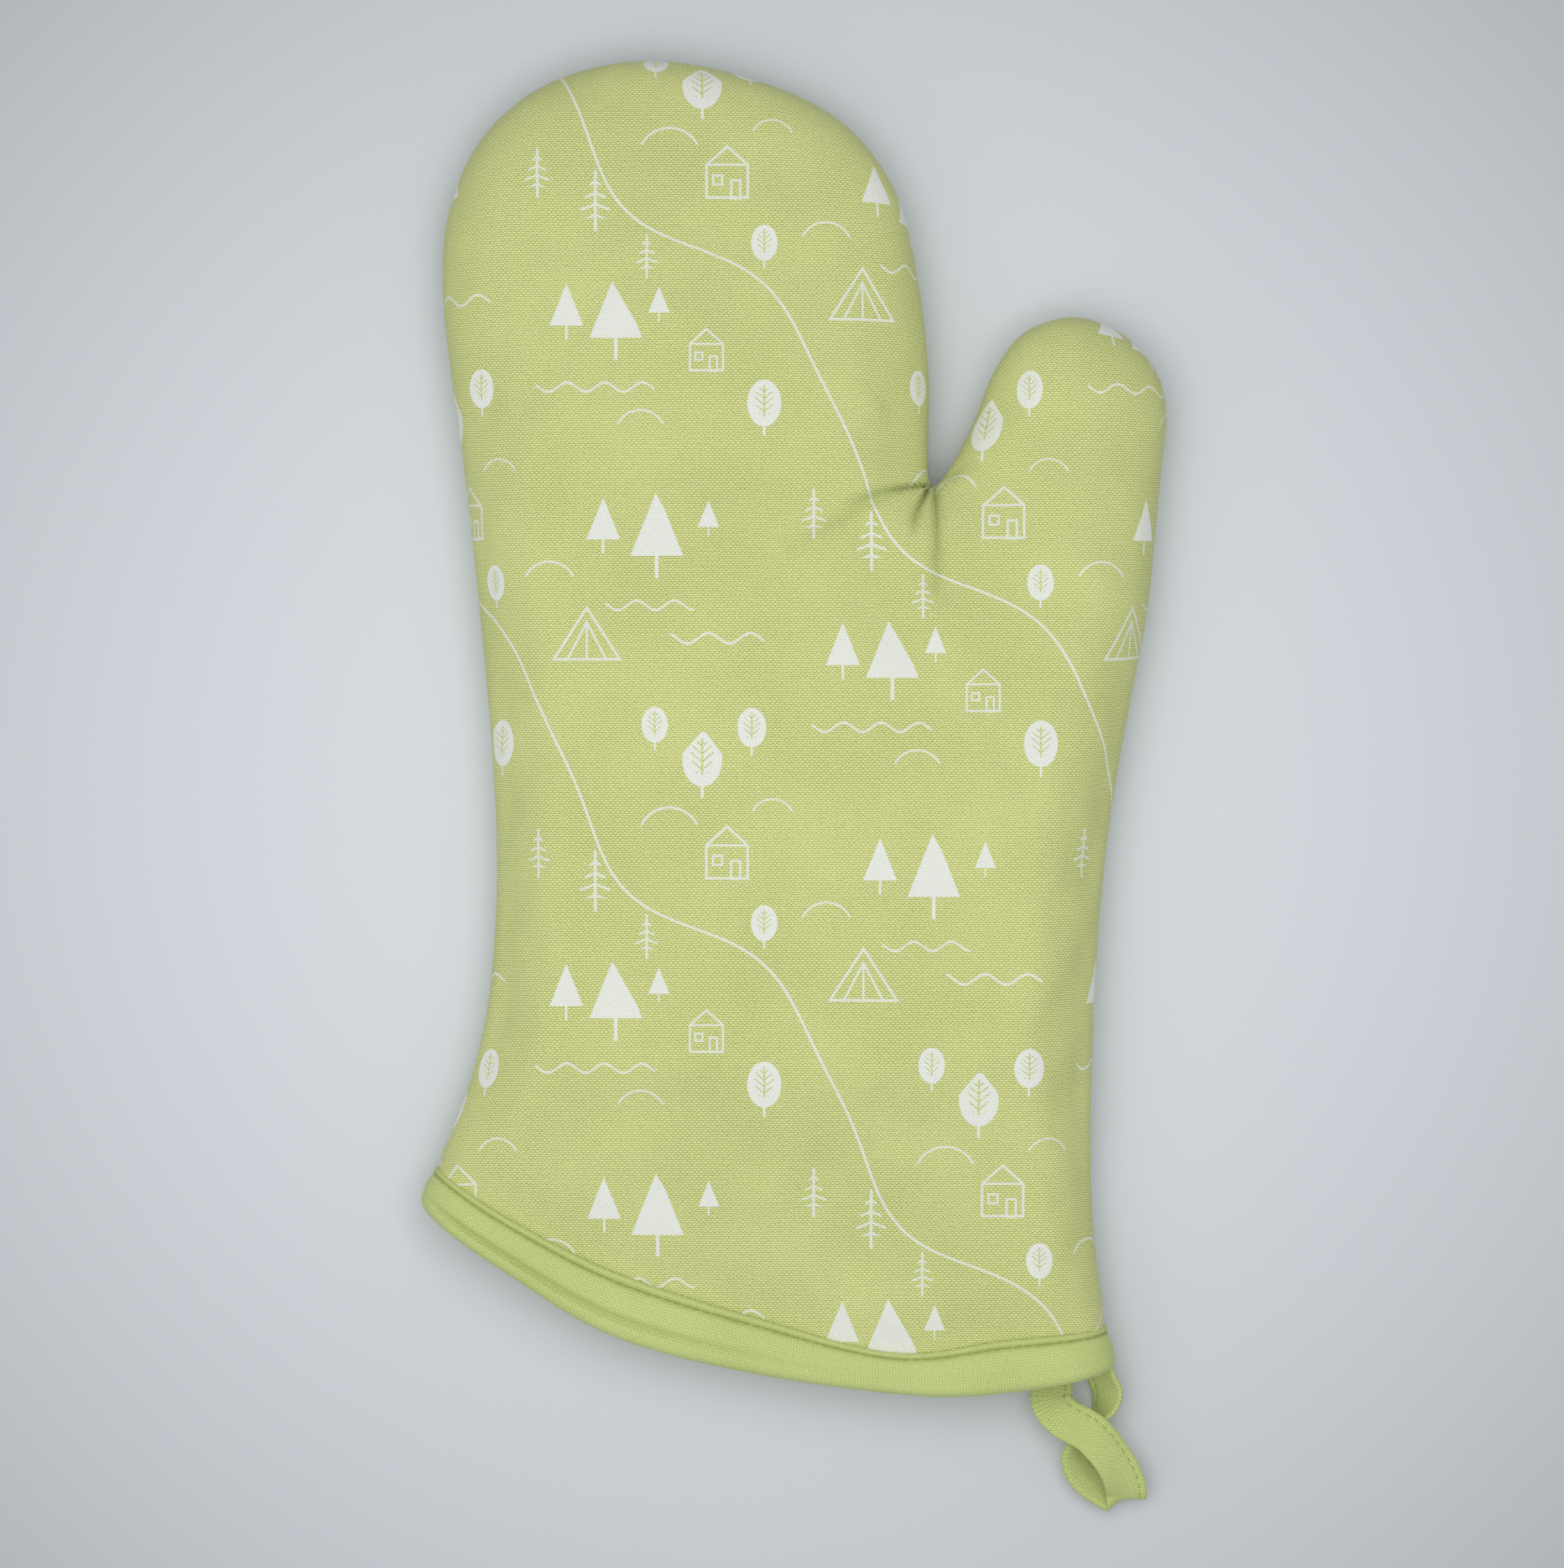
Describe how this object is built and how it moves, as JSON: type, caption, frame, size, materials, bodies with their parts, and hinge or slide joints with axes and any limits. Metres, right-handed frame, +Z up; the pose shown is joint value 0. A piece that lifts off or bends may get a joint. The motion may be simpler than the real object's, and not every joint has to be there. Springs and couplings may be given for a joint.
{
  "type": "oven mitt",
  "caption": "Padded cotton oven mitt with a separate thumb, a bound cuff and a hanging loop; it covers a hand to hold hot dishes.",
  "frame": {"origin": "on the surface that the mitt lies on, under the middle of its length and width", "axes": "+Y towards the fingertips, +X towards the thumb, +Z up, out of the front of the mitt, which lies on its back"},
  "size_m": [0.1836, 0.358, 0.0303],
  "materials": {
    "printed_cotton": "matt plain-weave cotton, printed",
    "wadding": "soft matt fibre wadding",
    "lining_cotton": "matt plain-weave cotton",
    "plain_cotton": "smooth matt cotton, cut on the bias",
    "thread": "spun sewing thread"
  },
  "bodies": {
    "hand": {"outer_front_hand": "printed_cotton", "outer_back_hand": "printed_cotton", "wadding_front_hand": "wadding", "wadding_back_hand": "wadding", "lining_front_hand": "lining_cotton", "lining_back_hand": "lining_cotton", "outer_seam_thread_little_finger_side": "thread", "outer_seam_thread_crotch": "thread", "outer_seam_thread_thumb_side": "thread", "lining_seam_thread_little_finger_side": "thread", "lining_seam_thread_crotch": "thread", "lining_seam_thread_thumb_side": "thread", "cuff_binding": "plain_cotton", "binding_stitch_thread": "thread"},
    "fingers": {"outer_front_fingers": "printed_cotton", "outer_back_fingers": "printed_cotton", "wadding_front_fingers": "wadding", "wadding_back_fingers": "wadding", "lining_front_fingers": "lining_cotton", "lining_back_fingers": "lining_cotton", "outer_seam_thread_fingertips": "thread", "lining_seam_thread_fingertips": "thread"},
    "thumb": {"outer_front_thumb": "printed_cotton", "outer_back_thumb": "printed_cotton", "wadding_front_thumb": "wadding", "wadding_back_thumb": "wadding", "lining_front_thumb": "lining_cotton", "lining_back_thumb": "lining_cotton", "outer_seam_thread_thumb": "thread", "lining_seam_thread_thumb": "thread"},
    "loop": {"hanging_loop": "plain_cotton", "loop_stitch_thread": "thread"}
  },
  "joints": [
    {"name": "knuckle_fold", "type": "hinge", "parent": "hand", "child": "fingers", "pos_m": [-0.025, 0.1015, 0.0296], "axis": [1, 0, 0], "range_deg": [0, 65]},
    {"name": "thumb_fold", "type": "hinge", "parent": "hand", "child": "thumb", "pos_m": [0.0661, 0.066, 0.0296], "axis": [0.6399, -0.7685, 0], "range_deg": [0, 50]},
    {"name": "loop_swing", "type": "hinge", "parent": "hand", "child": "loop", "pos_m": [0.0716, -0.14765, 0.008], "axis": [-0.9825, -0.1861, 0], "range_deg": [-55, 55]}
  ]
}
